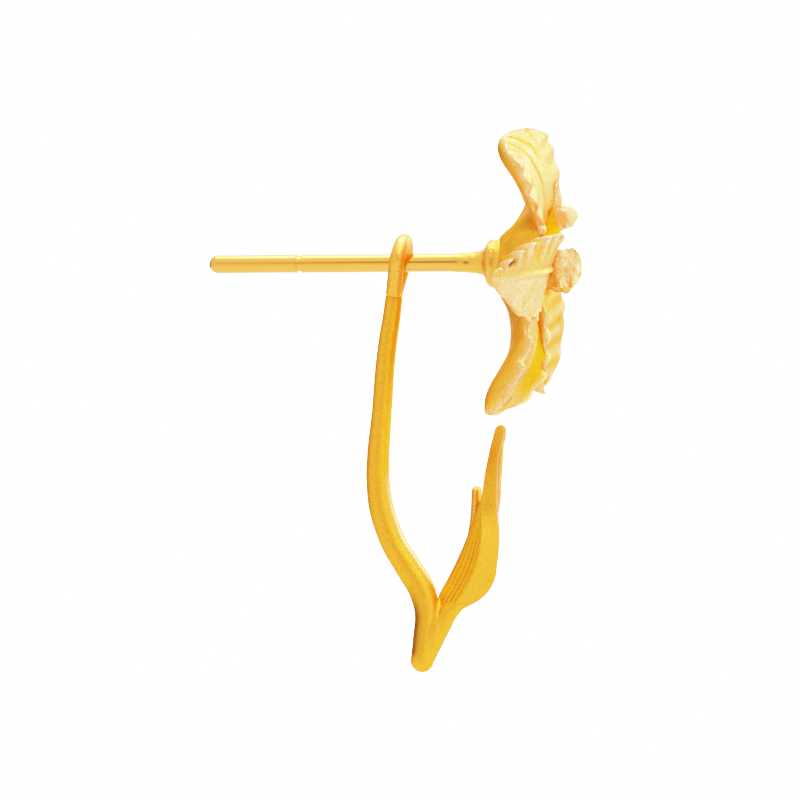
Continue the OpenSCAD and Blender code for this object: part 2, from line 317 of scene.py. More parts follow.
def satin_petal_gold():
    """Petals: satin, paler where the face is brushed and where highlight is painted, deeper on
    the back, with painted shade in the folds and painted sparkles and shadows.
    """
    b = Bench(bpy.data.materials.new("satin_petal_gold"))
    where = b.place()
    pale_and_highlight, fold = b.painted("pale_and_highlight"), b.painted("fold")
    mottle = b.cloud(where, 3500, detail=4)
    stipple = b.cloud(where, 13000, detail=2)
    brush = b.cloud(b.surface(1.2, 10), 2.2, detail=5, rough=0.65)
    # brushed paleness with painted highlight, varied by mottle and stipple
    skin = b.blend(pale_and_highlight * (0.35 + 0.9 * mottle + 0.5 * stipple), WARM_GOLD, PALE_HIGHLIGHT_GOLD)
    # painted shade, then a painted saturated yellow reflection
    deep = b.blend(b.painted("yellow_reflection"), b.blend(fold, skin, SHADED_GOLD), REFLECTED_YELLOW_GOLD)
    grained = b.blend((stipple - 0.5) * 2.6, deep, GRAIN_GOLD)
    # painted sparkle highlights where the stipple is low, strongest where highlight is painted
    sparked = b.blend((0.47 - stipple) * 4.5 * (0.15 + 0.85 * pale_and_highlight), grained, SPARK_GOLD)
    # painted highlight lines across the stitch marks
    ribbing = b.add("ShaderNodeTexWave", {"bands_direction": "Z"},
                    {"Vector": where, "Scale": 2300, "Distortion": 1.5}, out="Fac")
    gleam = b.painted("gleam") + b.painted("stitched") * ribbing ** 2
    # painted highlights
    lit = b.blend(gleam * (0.5 + mottle), sparked, SPARK_GOLD)
    # painted shade and shadow
    b.set(Base_Color=b.blend(b.painted("shade_and_stain"), lit, SHADE_AND_TARNISH), Metallic=1.0,
          Roughness=0.27 + 0.16 * mottle, Specular_Tint=GRAZED_GOLD,
          Coat_Weight=(0.12 + 0.3 * pale_and_highlight) * (1.0 - fold) + 0.7 * gleam, Coat_Roughness=0.2,
          Normal=b.bump(brush * 0.25 + stipple * 0.75, 0.00005, 0.9))
    return b.owner


def satin_drop_gold():
    """Ring, stem and leaves: satin with a fine cast grain, painted shade and painted highlights,
    a painted dark reflection on the stem and a faint darker tint on the long leaf.
    """
    b = Bench(bpy.data.materials.new("satin_drop_gold"))
    where, pale_and_highlight = b.place(), b.painted("pale_and_highlight")
    streak = b.cloud(b.surface(0.12, 2.2), 1.6, detail=4)
    stipple = b.cloud(where, 12000, detail=2)
    mottle = b.cloud(where, 500)
    skin = b.blend(streak, WARM_GOLD, STREAK_GOLD)
    # painted shade deepens the gold and painted highlight lightens it
    bare = b.blend(pale_and_highlight, b.blend(b.painted("fold"), skin, SHADED_GOLD), PALE_HIGHLIGHT_GOLD)
    grained = b.blend((stipple - 0.5) * 3.2, bare, GRAIN_GOLD)
    # painted dark reflection, and a faint tint on the long leaf
    b.set(Base_Color=b.blend(b.painted("shade_and_stain"), grained, SHADE_AND_TARNISH), Metallic=1.0,
          Roughness=0.31 + 0.14 * mottle, Specular_Tint=GRAZED_GOLD,
          Coat_Weight=0.12 + 0.75 * pale_and_highlight, Coat_Roughness=0.2,
          Normal=b.bump(stipple, 0.00003, 0.85))
    return b.owner


polished = polished_gold()
petal_gold = satin_petal_gold()
drop_gold = satin_drop_gold()


# ---------------------------------------------------------------- flower

# the flower is a little taller than its tables, and its collar and throat sit a little low
TALL, SET_LOW = 1.039, -0.07

# half widths of a petal from claw to tip
PETAL_W = [0.8, 1.2, 1.7, 2.1, 2.25, 2.05, 1.6]
LOW_NEAR_W = [0.8, 1.2, 1.7, 2.1, 2.2, 1.85, 1.45]
LOW_FAR_W = [0.8, 1.2, 1.7, 2.1, 2.3, 1.65, 0.7]
FAR_LOW_W = [0.8, 1.2, 1.7, 2.1, 2.2, 1.9, 1.2]
SIDE_UPPER_W = [0.8, 1.1, 1.5, 1.65, 1.7, 1.4, 0.6]
SIDE_LOWER_W = [0.8, 1.1, 1.5, 2.0, 2.3, 1.75, 0.75]
CREST_W = [0.6, 0.8, 0.9, 0.93, 0.85]
CREST_UPPER_W = [0.6, 0.7, 0.75, 0.8, 0.75]


def edge(widths, lifts, waves, phase, ruffle, crinkle=0.0, uneven=0.9, calm=0.0, pale_and_highlight=1.0):
    """One margin of a petal: half widths and lifts along it, then its ruffle and crinkles in mm,
    how unevenly it waves, how far the waves calm down towards the claw, and its paleness,
    which is partly painted highlight."""
    return dict(widths=widths, lifts=lifts, waves=waves, phase=phase, ruffle=ruffle,
                crinkle=crinkle, uneven=uneven, calm=calm, pale_and_highlight=pale_and_highlight)


# what a petal or crest has where its own table doesn't say
PLAIN_PETAL = dict(
    rib=0.11,            # depth of the midrib's groove in mm, or below 0 its height
    drift=0,             # how far in mm the midrib swerves at the tip
    pleated=(0.5, 0.8),  # where along it the pleats set in
    rough=0,             # coarser cast skin
    fan=0,               # deeper veins on the left half, with painted highlight and painted shade
    crease=0,            # a sharp crease by the tip, with painted shade in it
    stitches=0,          # fine marks by the claw, in painted highlight, shade and reflection
    pit=0,               # a pit by the right edge, with painted shade in it
    pale_and_highlight=1,              # paleness of the front: brushed, and partly painted highlight
    rear_pale=0.06,      # paleness of the back, partly painted highlight
    highlight_blocks=0,            # painted highlight that comes and goes in bands across the petal
    shaded_channel=0,           # a band of painted shade left of the midrib
    yellow_reflection=0,              # a painted saturated yellow reflection towards the claw
    rib_shade=0,          # a line of painted shade in the midrib
    painted_back_light=0,              # a painted highlight and a painted shadow on the back
)

# each petal: its angle round the flower from the top to the near side, its front and back lines
# as (forward, outward) points from claw to tip, and its two edges (right one first, as seen from
# the front of the flower with the petal up)
PETALS = {
    "petal_near_upper": dict(
        angle=32, roll=-5, seed=3, sweep=1.9, drift=0.22, stitches=1, crease=1, rib_shade=1,
        pale_and_highlight=0.85,
        face=[(3.3, 0.5), (4.5, 1.2), (5.1, 2.2), (5.2, 3.5), (4.98, 4.85), (4.48, 5.98),
              (3.5, 6.8)],
        back=[(2.9, 1.2), (3.75, 1.95), (4.45, 2.8), (4.45, 3.7), (4.12, 4.85), (3.45, 5.85),
              (2.9, 6.52)],
        edges=[edge(PETAL_W, [0.3, 0.45, 0.55, 0.3, 0.25, 0.4, 0.3], 7.6, 60, 0.09,
                    uneven=0.4, calm=0.3),
               edge(PETAL_W, [0.3, 0.3, 0.3, 0.2, 0.12, 0.25, 0.3], 7.6, 232, 0.14,
                    uneven=0.1, calm=0.3)]),
    "petal_far_upper": dict(
        angle=-28, roll=5, seed=5, sweep=1.9,
        face=[(3.3, 0.5), (4.3, 1.2), (5.2, 2.3), (5.1, 3.4), (4.4, 4.8), (4.0, 6.0), (3.6, 6.8)],
        back=[(2.85, 1.2), (3.5, 2.0), (3.9, 2.8), (3.95, 3.7), (3.65, 4.9), (3.3, 6.0),
              (3.0, 6.7)],
        edges=[edge(PETAL_W, [0.3] * 7, 6.1, 75, 0.17), edge(PETAL_W, [0.3] * 7, 5.6, 195, 0.05)]),
    "petal_near_side": dict(
        angle=99, roll=-12, seed=7, sweep=0.45, rib=-0.13, pit=1, pleated=(0.15, 0.4), pale_and_highlight=1.2,
        fan=1,
        face=[(3.4, 0.5), (4.85, 1.3), (5.5, 2.4), (5.65, 3.5), (5.35, 4.5), (4.55, 5.7),
              (3.3, 6.6)],
        back=[(2.9, 1.2), (3.5, 1.9), (4.05, 2.6), (4.3, 3.4), (4.2, 4.3), (3.7, 5.4), (3.0, 6.3)],
        edges=[edge(SIDE_UPPER_W, [0.2, 0.3, 0.35, 0.3, 0.15, 0.05, 0.1], 9.0, 40, 0.03, 0.22,
                    pale_and_highlight=0.45),
               edge(SIDE_LOWER_W, [0.2, 0.0, -0.2, -0.25, -0.1, 0.0, 0.0], 7.7, 250, 0.14, 0.07,
                    pale_and_highlight=1.2)]),
    "petal_far_side": dict(
        angle=270, roll=0, seed=9, sweep=0.8,
        face=[(3.3, 0.5), (4.2, 1.2), (4.5, 2.2), (4.4, 3.3), (4.1, 4.5), (3.7, 5.6), (3.0, 6.4)],
        back=[(2.7, 1.2), (3.0, 1.9), (3.35, 2.6), (3.4, 3.4), (3.3, 4.3), (3.0, 5.4), (2.5, 6.2)],
        edges=[edge(SIDE_LOWER_W, [0.3] * 7, 6.4, 300, 0.16),
               edge(SIDE_UPPER_W, [0.3] * 7, 7.1, 60, 0.16)]),
    "petal_near_lower": dict(
        angle=156, roll=-9, seed=11, sweep=1.3, shaded_channel=1, pale_and_highlight=0.5,
        face=[(3.2, 0.5), (4.2, 1.25), (4.55, 2.3), (4.75, 3.6), (4.6, 5.0), (3.8, 6.6),
              (2.78, 8.03)],
        back=[(2.6, 1.2), (3.0, 1.75), (3.45, 2.65), (3.65, 3.8), (3.55, 5.1), (2.8, 6.62),
              (2.14, 7.8)],
        edges=[edge(LOW_NEAR_W, [0, -0.1, -0.3, -0.42, -0.15, 0.35, 0.7], 8.2, 190, 0.17),
               edge(LOW_FAR_W, [0.4, 0.5, 0.6, 0.65, 0.65, 0.55, 0.15], 7.2, 100, 0.12)]),
    "petal_far_lower": dict(
        angle=208, roll=6, seed=13, sweep=1.0, pale_and_highlight=0.6, pleated=(0.2, 0.4), highlight_blocks=0.8,
        face=[(3.3, 0.5), (4.3, 1.2), (4.85, 2.2), (4.9, 3.5), (4.75, 4.7), (4.6, 5.9),
              (4.45, 7.0)],
        back=[(2.7, 1.2), (3.1, 2.0), (3.6, 2.8), (3.8, 3.7), (3.9, 4.8), (3.8, 5.8), (3.5, 6.8)],
        edges=[edge(FAR_LOW_W, [0.35] * 7, 5.2, 246, 0.05),
               edge(FAR_LOW_W, [0.35] * 7, 6.3, 20, 0.05)]),
}

CRESTS = {
    "crest_upper": dict(
        angle=4, roll=0, seed=15, sweep=0.8, rib=0.03, painted_back_light=1, yellow_reflection=1, rear_pale=0.7,
        face=[(3.6, 1.1), (4.7, 1.8), (5.5, 2.45), (6.1, 2.5), (6.65, 2.2)],
        back=[(3.9, 0.4), (4.9, 0.95), (5.6, 1.55), (6.15, 1.8), (6.5, 1.85)],
        edges=[edge(CREST_UPPER_W, [0.1] * 5, 2.2, 11, 0.03),
               edge(CREST_UPPER_W, [0.0] * 5, 1.7, 130, 0.03)]),
    "crest_near_lower": dict(
        angle=100, roll=0, seed=17, sweep=0.8, rough=1, rib=0.02, pale_and_highlight=1.3,
        face=[(3.6, 1.0), (4.9, 1.6), (5.8, 2.0), (6.5, 1.95), (7.02, 1.65)],
        back=[(3.9, 0.4), (5.0, 0.8), (5.9, 1.1), (6.45, 1.15), (6.9, 1.25)],
        edges=[edge(CREST_W, [0.15] * 5, 3.6, 70, 0.10, 0.05),
               edge(CREST_W, [0.15] * 5, 3.2, 200, 0.10, 0.05)]),
    "crest_far_lower": dict(
        angle=257, roll=0, seed=19, sweep=0.8, rough=1, rib=0.02, pale_and_highlight=1.1,
        face=[(3.6, 1.0), (4.7, 1.5), (5.3, 1.9), (5.8, 2.1), (6.2, 2.2)],
        back=[(3.9, 0.4), (4.8, 0.8), (5.4, 1.15), (5.9, 1.4), (6.2, 1.8)],
        edges=[edge(CREST_W, [0.2] * 5, 3.6, 126, 0.10), edge(CREST_W, [0.2] * 5, 3.1, 10, 0.10)]),
}

# how many crinkles an edge still has ahead at places from claw to tip
CRINKLE_PLACES = [0, 0.5, 0.7, 0.82, 0.873, 0.932, 1]
CRINKLES_AHEAD = [8.2, 5.2, 3, 2, 1, 0, -1.3]

# places along a petal, 0 at its claw and 1 at its tip, and round it, -1 and 1 at its edges: the
# bounds of a rise, or of a rise and a fall, or the middle of a mark
CLAW, GROWN = (0.14, 0.40), (0.15, 0.4)
CRINKLED, CREASED = (0.42, 0.52, 0.95, 0.99), (0.68, 0.78, 0.95, 0.99)
SHADED_CHANNEL_ALONG, SHADED_CHANNEL_ROUND = (0.3, 0.4, 0.72, 0.88), (0.05, 0.2, 0.72, 0.86)
RIB_SHADE_ALONG = (0.3, 0.4, 0.8, 0.95)
PIT_ALONG, PIT_ROUND = 0.9, -0.78
STITCHES_ALONG, STITCHES_ROUND = 0.435, -0.55
BACK_HIGHLIGHT_ALONG, SHADOW_ALONG, SHADOW_ROUND = 0.72, 0.66, 0.5
HIGHLIGHT_BLOCKS_ALONG = 7

# relief of a petal in mm
VEIN_PITCH, VEIN_DEPTH, FAN_DEPTH = 0.21, 0.005, 0.009
RIB_WIDTH, BANK_AT, BANK_WIDTH = 0.11, 0.22, 0.10
BEAD_HEIGHT, BEAD_WIDTH = 0.04, 0.09
CREASE_DEPTH, PIT_DEPTH = 0.07, 0.25
MARGIN_THICK = 0.2


def wave(one, t, turned_by=0.0):
    """The ruffle of an edge, about 1 high, at places from claw to tip."""
    swing = TAU * one["waves"] * t + math.radians(one["phase"] + turned_by)
    swing = swing + one["uneven"] * np.sin(TAU * 1.9 * t + one["phase"])
    calm = 1 - one["calm"] * (1 - ease(0.55, 0.8, t))
    return calm * (np.sin(swing) + (0.12 - 0.4 * one["calm"]) * np.sin(2 * swing + 0.9))


def crinkles(one, t):
    """Steep folds of an edge in mm, closer together towards the tip."""
    ahead = np.interp(t, CRINKLE_PLACES, CRINKLES_AHEAD)
    folds = 0.6 * sum(np.sin(TAU * n * ahead) / n for n in (1, 2, 3))
    return one["crinkle"] * folds * span(t, *CRINKLED)


class Petal:
    """A thick petal or crest, as a grid of points. t and tt go from its claw to its tip. s goes
    over its front, from -1 at the right edge to 1 at the left one, and back again behind, and a
    is the same from 0 in the middle. w is the half width in mm."""

    def __init__(self, table, rows, across, behind):
        self.p = p = {**PLAIN_PETAL, **table}
        even = np.linspace(0, 1, rows)
        self.t = t = 0.7 * even + 0.3 * np.sin(even * math.pi / 2)
        self.tt = tt = t[:, None]
        even = np.concatenate([np.linspace(-1, 1, across), np.linspace(1, -1, behind)[1:-1]])
        self.s = s = 0.4 * even + 0.6 * np.sin(even * math.pi / 2)
        self.a = a = np.abs(s)
        self.is_front = np.arange(len(s)) < across

        # widths, and the places of the points in mm: x across, down along, run along the veins
        self.tip = rounded_off(tt, 0.72, 2.3)
        self.grown = ease(*GROWN, tt)
        self.w = self.either(lambda one: along(one["widths"], t)) * np.maximum(0.06, self.tip)
        self.x = self.w * s
        length = length_of(along(p["face"], t))
        self.down = tt * length
        self.run = self.down - p["sweep"] * self.w * a**1.15
        self.from_rib = self.x - p["drift"] * ease(0.6, 0.9, tt)

        # what is both modelled and coloured with painted shade and highlight: crinkles, veins,
        # pleats, a crease and a pit
        self.crinkle = self.either(lambda one: crinkles(one, t))
        self.away = ease(0.08, 0.35, a) * ease(0.08, 0.25, tt)
        warp = 0.10 * sway(self.down, self.x, p["seed"], scale=1.3)
        self.vein = np.cos(TAU * (self.run + warp) / VEIN_PITCH + (s < 0) * 2.0)
        self.fan = (p["fan"] * (s > 0) * (1 - ease(0.76, 0.86, tt))
                    * np.clip(0.7 + 0.6 * sway(self.down, self.x, p["seed"] + 4, scale=1.5), 0, 1))
        self.pleat_set = 0.15 + 0.85 * ease(*p["pleated"], tt)
        self.crease = (p["crease"] * hump(s + 0.30 + 0.25 * (tt - 0.85), 0.055)
                       * span(tt, *CREASED))
        self.pit = (p["pit"] * hump((tt - PIT_ALONG) * length, 0.17)
                    * hump((s - PIT_ROUND) * self.w, 0.13))

    def either(self, of_edge):
        """A value of each edge along it, the right edge's where s < 0."""
        first, second = (of_edge(one)[:, None] for one in self.p["edges"])
        return np.where(self.s < 0, first, second)

    def pleats(self, pitch):
        """Soft pleats along the veins, about 1 high."""
        return 0.9 * sway(TAU * self.run / pitch, 1.1 * self.x, self.p["seed"] + 3, 4, scale=0.8)

    def heights(self, pleat, pleat_depth, thick, end):
        """How far in mm each point of the front and the back stands over the front line."""
        p, tt, a, x, down, grown = self.p, self.tt, self.a, self.x, self.down, self.grown
        rib, rough = p["rib"], p["rough"]
        groove = rib * hump(self.from_rib, RIB_WIDTH) * (1 - ease(0.7, 0.92, tt))
        banks = 0.4 * rib * hump(np.abs(self.from_rib) - BANK_AT, BANK_WIDTH) * (1 - 0.8 * tt)
        ruffle = (self.either(lambda one: one["ruffle"] * wave(one, self.t)) * grown
                  * (0.4 + 0.6 * self.tip))
        lift = (self.either(lambda one: along(one["lifts"], self.t)) * ease(0, 0.3, tt) * a**1.4
                * (0.3 + 0.7 * self.tip))
        rim = rounded_off(a, 0, 14)
        pleats = pleat_depth * pleat * self.away * a**0.8 * rim * self.pleat_set
        veins = (VEIN_DEPTH + FAN_DEPTH * self.fan) * self.vein * self.away * (1 - rough)
        dents = grown * (0.014 + 0.03 * rough) * sway(
            down, x + 0.2 * np.sin(5 * tt), p["seed"] + 1, 9, scale=2.2 + 1.6 * rough)
        grain = grown * (0.006 + 0.004 * rough) * sway(down, x, p["seed"] + 2, 9, scale=9)
        bead = BEAD_HEIGHT * hump((1 - a) * self.w, BEAD_WIDTH)
        front = (lift + ruffle * a**3 + 0.8 * self.crinkle * a**2.2 - groove + banks + pleats + bead
                 + (veins + dents + grain) * rim
                 - CREASE_DEPTH * self.crease - PIT_DEPTH * self.pit)
        rear = (lift * a * a + (ruffle + self.crinkle) * a**12
                - thick * np.clip(1 - a**2.2, 0, 1) ** 0.8
                - MARGIN_THICK * end * rounded_off(a, 0, 10) + 0.5 * dents * rim)
        return np.where(self.is_front, front, rear)

    def rings(self, pleat, pleat_depth):
        """The points in mm, from the front and back lines, turned round the flower."""
        p, t, a = self.p, self.t, self.a
        angle = math.radians(p["angle"])
        out = np.array([0, -math.sin(angle), math.cos(angle)])
        side = np.array([0, -math.cos(angle), -math.sin(angle)])
        ahead = np.array([1.0, 0, 0])
        face, back = along(p["face"], t), along(p["back"], t)
        body = np.linalg.norm(face - back, axis=1)[:, None]
        rise = unit(face - back)
        up = rise[:, :1] * ahead + rise[:, 1:] * out
        end = rounded_off(self.tt, 0.8, 3, 0.004)
        middle = face[:, :1] * ahead + face[:, 1:] * out - up * (body * (1 - end) / 2)
        high = self.heights(pleat, pleat_depth, body * (0.35 + 0.65 * end) * end, end)
        wide = 1 + a**3 * self.grown * self.either(
            lambda one: (0.27 - 0.8 * one["calm"]) * one["ruffle"] * wave(one, t, 70))
        across = self.x * wide + self.s * a * self.crinkle
        roll = math.radians(p["roll"]) * ease(0, 0.5, self.tt)
        c, d = np.cos(roll), np.sin(roll)
        points = (middle[:, None] + (across * c - high * d)[..., None] * side
                  + (across * d + high * c)[..., None] * up[:, None])
        return points * [1, 1, TALL]

    def paint(self, pleat):
        """Where the brushed face is paler and highlight is painted on rims and crinkle crests,
        where painted shade darkens folds, a band left of the midrib and the claw, where a
        saturated yellow reflection is painted towards the claw, where painted highlights gleam on
        ridges and stitches, and where painted shade and shadow darken pits, crinkle valleys, the
        midrib and the back of the upper crest."""
        p, s, a, tt, is_front = self.p, self.s, self.a, self.tt, self.is_front
        rough, crinkle, from_rib = p["rough"], self.crinkle, self.from_rib
        grooved = p["rib"] > 0.025
        raised = np.clip(crinkle, 0, 1)
        # painted shade in a band left of the midrib
        shaded_channel = p["shaded_channel"] * span(s, *SHADED_CHANNEL_ROUND) * span(tt, *SHADED_CHANNEL_ALONG)
        # painted saturated yellow reflection towards the claw
        yellow_reflection = p["yellow_reflection"] * (1 - ease(0.56, 0.64, tt + 0.1 * a))
        # the stitch marks are only painted: painted shade and yellow reflection with highlight
        # lines
        stitched = (p["stitches"] * hump(tt - STITCHES_ALONG + 0.03 * (s + 0.6), 0.035)
                    * hump(s - STITCHES_ROUND, 0.38))
        stitched = ease(0.3, 0.6, stitched) * is_front
        # painted shade in the hollows of the fan veins
        hollows = self.fan * np.clip(-self.vein - 0.2, 0, 1) * self.away * is_front

        # brushed paleness of the front, with painted highlight along the rims and on crinkle crests
        pale_and_highlight = np.where(is_front, 0.85 * p["pale_and_highlight"], p["rear_pale"])
        pale_and_highlight = pale_and_highlight * np.where(s < 0, *(one["pale_and_highlight"] for one in p["edges"]))
        pale_and_highlight = pale_and_highlight * ease(0.14, 0.42, tt) * (1 - 0.7 * grooved * hump(from_rib, 0.10))
        # painted highlight that comes and goes in bands across the petal
        highlight_blocks = np.cos(TAU * HIGHLIGHT_BLOCKS_ALONG * (tt - 0.06 * s - 0.44))
        pale_and_highlight = pale_and_highlight * (1 + p["highlight_blocks"] * ease(0.36, 0.4, tt) * highlight_blocks)
        pale_and_highlight = pale_and_highlight + 0.6 * hump((1 - a) * self.w, 0.12) * self.grown + 4.0 * raised * a * a

        # painted shade in the midrib groove, pleat valleys, claw, crease and crinkle valleys
        fold = (0.8 * hump(from_rib, 0.09) * (1 - ease(0.6, 0.9, tt)) * grooved
                + 0.4 * np.clip(-pleat - 0.2, 0, 1) * self.away * self.pleat_set * (1 - rough)
                + 0.9 * (1 - ease(*CLAW, tt)) * (1 - 0.7 * rough)
                + shaded_channel + self.crease) * is_front
        fold = fold + 7.0 * np.clip(-crinkle - 0.09, 0, 1) * a * a + yellow_reflection + stitched

        # painted shade in the pit, in the crinkle valleys and along the midrib
        shade_and_stain = (1.5 * self.pit + 3.0 * np.clip(-crinkle - 0.12, 0, 1) * a**3
                 + 0.5 * p["rib_shade"] * hump(from_rib, 0.05) * span(tt, *RIB_SHADE_ALONG))
        # painted shadow on the back of the upper crest
        back_shadow = (0.6 * p["painted_back_light"] * hump(tt - SHADOW_ALONG, 0.05)
                      * hump(s - SHADOW_ROUND, 0.15))

        # painted highlights: sparkles on rough crests, and glints on crinkle crests and vein ridges
        sparks = np.clip(sway(self.down, self.x, p["seed"] + 5, 9, scale=16) - 0.5, 0, 1)
        ridges = (5.0 * raised * a**3 + rough * sparks
                  + 0.9 * self.fan * np.clip(self.vein, 0, 1) * self.away * ease(0.2, 0.4, tt))
        # painted highlight on the back of the upper crest
        painted_back_light = 0.5 * p["painted_back_light"] * hump(tt - BACK_HIGHLIGHT_ALONG, 0.12) * ease(-0.2, 0.2, s)

        layers = {"pale_and_highlight": pale_and_highlight * (1 - 0.9 * shaded_channel) * (1 - yellow_reflection) * (1 - 0.8 * hollows),
                  "fold": fold + 0.6 * hollows + 0.2 * rough,
                  "yellow_reflection": yellow_reflection + stitched,
                  "stitched": stitched,
                  "gleam": np.where(is_front, ridges, 0) + painted_back_light,
                  "shade_and_stain": np.where(is_front, shade_and_stain, back_shadow)}
        return {layer: np.clip(values + 0 * self.x, 0, 1) for layer, values in layers.items()}


def add_petal(name, table, rows, across, behind, pleat_pitch, pleat_depth):
    """One petal or crest of the stud, from its table."""
    petal = Petal(table, rows, across, behind)
    pleat = petal.pleats(pleat_pitch)
    chart = np.stack([petal.x, petal.run], -1)
    # a crest faces outwards where a petal faces forwards
    (face_x, face_out), (next_x, next_out) = table["face"][:2]
    back_x, back_out = table["back"][0]
    inside_out = ((next_x - face_x) * (face_out - back_out)
                  > (next_out - face_out) * (face_x - back_x))
    make_piece(name, STUD, petal.rings(pleat, pleat_depth), petal_gold, petal.paint(pleat), chart,
               inside_out)


for petal_name, petal_table in PETALS.items():
    add_petal(petal_name, petal_table, 240, 91, 33, pleat_pitch=0.85, pleat_depth=0.045)
for crest_name, crest_table in CRESTS.items():
    add_petal(crest_name, crest_table, 120, 61, 31, pleat_pitch=0.6, pleat_depth=0.02)

# post: rounded tip, nut groove between two lips, straight to the flare
POST_R, TIP_X, GROOVE_X = 0.46, -12.12, -7.45
tip_arc = [(TIP_X + POST_R * (1 - math.cos(k)), POST_R * math.sin(k))
           for k in np.radians([0, 8, 18, 30, 42, 54, 66, 78, 90])]
lip = [(0.30, 0.46), (0.24, 0.462), (0.225, 0.476), (0.18, 0.48), (0.14, 0.476), (0.125, 0.46),
       (0.11, 0.402)]
groove = ([(GROOVE_X - dx, r) for dx, r in lip] + [(GROOVE_X, 0.398)]
          + [(GROOVE_X + dx, r) for dx, r in reversed(lip)])
shank = [(x, POST_R) for x in (-11.2, -10.6, -9.8, -9.0, -8.3)]
shaft = [(x, POST_R) for x in (-6.8, -6.0, -5.0, -4.0, -3.0, -2.0, -1.0, 0.0, 0.6, 1.2)]


def wire_unevenness(xx, aa, rr):
    return 0.0022 * sway(xx * 0.5, 0, 31) * ease(-11.6, -11.2, xx)


rings, chart, *_ = turned(tip_arc + shank + groove + shaft, 420, 72, wire_unevenness)
make_piece("ear_post", STUD, rings, polished, {"solder": 0}, chart)

# flare of solder, lumpy towards the collar, with one small burr
FLARE = [(-1.2, 0.44), (-0.7, 0.452), (-0.2, 0.455), (0.3, 0.462), (0.7, 0.475), (1.05, 0.497),
         (1.35, 0.53), (1.6, 0.575), (1.8, 0.64), (1.93, 0.735), (2.02, 0.86), (2.1, 1.0),
         (2.2, 1.115), (2.32, 1.14)]


def solder_lumps(xx, aa, rr):
    rough = 0.012 * sway(xx * 5, aa * 2.0, 41) + 0.009 * sway(xx * 11, aa * 5, 42)
    burr = 0.05 * hump(xx - 1.72, 0.12) * hump(aa - 2.6, 0.25)
    return (rough + burr) * ease(0.0, 0.9, xx)


# a dark spot and a thin dark line on the near side, painted reflection of the dark slit by the lens
rings, chart, xx, aa = turned(FLARE, 90, 96, solder_lumps)
spot = hump(xx - 1.05, 0.17) * hump(aa - 1.63, 0.14)
line = 0.35 * hump(aa - 1.62, 0.08) * span(xx, -0.2, 0.1, 0.4, 0.8)
make_piece("solder_flare", STUD, rings, polished,
           {"solder": ease(-0.3, 1.3, xx), "shade_and_stain": np.clip(spot + line, 0, 1)}, chart)

# collar: one rounded shoulder with a band of coarser solder behind it
COLLAR = [(2.0, 0.02), (2.0, 0.5), (2.02, 0.84), (2.07, 1.0), (2.2, 1.12), (2.36, 1.15),
          (2.55, 1.16), (2.75, 1.2), (2.95, 1.22), (3.15, 1.0), (3.2, 0.5), (3.2, 0.02)]
BAND_X = 2.44


def collar_lumps(xx, aa, rr):
    rough = 0.014 * sway(xx * 3, aa * 3.0, 51) + 0.008 * sway(xx * 9, aa * 7, 52)
    band = 0.012 * sway(xx * 22, aa * 20, 53) * hump(xx - BAND_X, 0.12)
    return (rough + band - 0.02 * hump(xx - BAND_X, 0.09)) * ease(0.3, 0.9, rr)


rings, chart, xx, aa = turned(COLLAR, 120, 128, collar_lumps, tall=TALL, drop=SET_LOW)
make_piece("flower_collar", STUD, rings, polished,
           {"solder": 1, "shade_and_stain": 0.24 * hump(xx - 2.5, 0.1)}, chart)

# the claws run together behind the petals in a smooth funnel, which swells a little between the
# two near petals and reaches forward there as a web
THROAT = [(2.6, 0.02), (2.6, 0.6), (2.62, 1.0), (2.75, 1.17), (3.0, 1.36), (3.3, 1.6),
          (3.6, 1.86), (3.9, 2.16), (4.15, 2.42), (4.32, 2.48), (4.4, 2.3), (4.38, 1.6),
          (4.3, 0.8), (4.2, 0.02)]
SWELL, REACH = np.array([-0.03, -0.10, 0.05]), np.array([0.8, -0.40, 0.14])
rings, chart, xx, aa = turned(THROAT, 110, 128, tall=TALL, drop=SET_LOW)
rings = (rings + (ease(2.8, 3.8, xx) * hump(aa - 1.05, 0.85))[..., None] * SWELL
         + (ease(3.5, 4.3, xx) * hump(aa - 1.12, 0.6))[..., None] * REACH)
# painted shade growing towards its front, deep among the petals
make_piece("flower_throat", STUD, rings, petal_gold,
           {"pale_and_highlight": 0.04, "fold": 0.25 * ease(3.0, 4.2, xx)}, chart)

# a little folded flap where the claws of the two near petals meet
FLAP = [(4.92, -2.95, 1.36), (5.08, -3.2, 1.38), (5.24, -3.35, 1.44), (5.3, -3.35, 1.74)]
rings, chart, *_ = bar(FLAP, [0.05, 0.16, 0.25, 0.05], 60, 40, squash=0.4)
# a painted highlight over the flap
make_piece("claw_flap", STUD, rings, petal_gold, {"pale_and_highlight": 0.9, "gleam": 0.3}, chart)


# ---------------------------------------------------------------- leaf drop

RING_X, RING_Z, RING_R, RING_WIRE_R = -2.32, 0.10, 1.0, 0.385
RING_LEAN = math.radians(12)


def lean_and_place(rings):
    """Leans the ring over towards the flower at its top and puts it round the post."""
    x, y, z = np.moveaxis(rings, -1, 0)
    c, s = math.cos(RING_LEAN), math.sin(RING_LEAN)
    return np.stack([x * c + z * s + RING_X, y, -x * s + z * c + RING_Z], -1)


def ring_wear(tt, aa, length):
    return 0.012 * sway(tt * length * 1.5, aa, 61) + 0.006 * sway(tt * length * 6, aa * 4, 62)


near_foot, far_foot = np.array([0.07, -0.45, -1.68]), np.array([0, 0.3, -1.75])
near_side, far_side = np.array([0, -RING_R, 0]), np.array([0, RING_R, 0])
over = [np.array([0, -RING_R * math.cos(k), RING_R * math.sin(k)])
        for k in np.radians(np.arange(22.5, 160, 22.5))]
ring_path = [near_foot, (near_foot + near_side) / 2, near_side, *over,
             far_side, (far_foot + far_side) / 2, far_foot]
rings, chart, tt, aa = bar(ring_path, [RING_WIRE_R] * len(ring_path), 110, 48,
                           dome=0.25, wide=(1, 0, 0), relief=ring_wear)
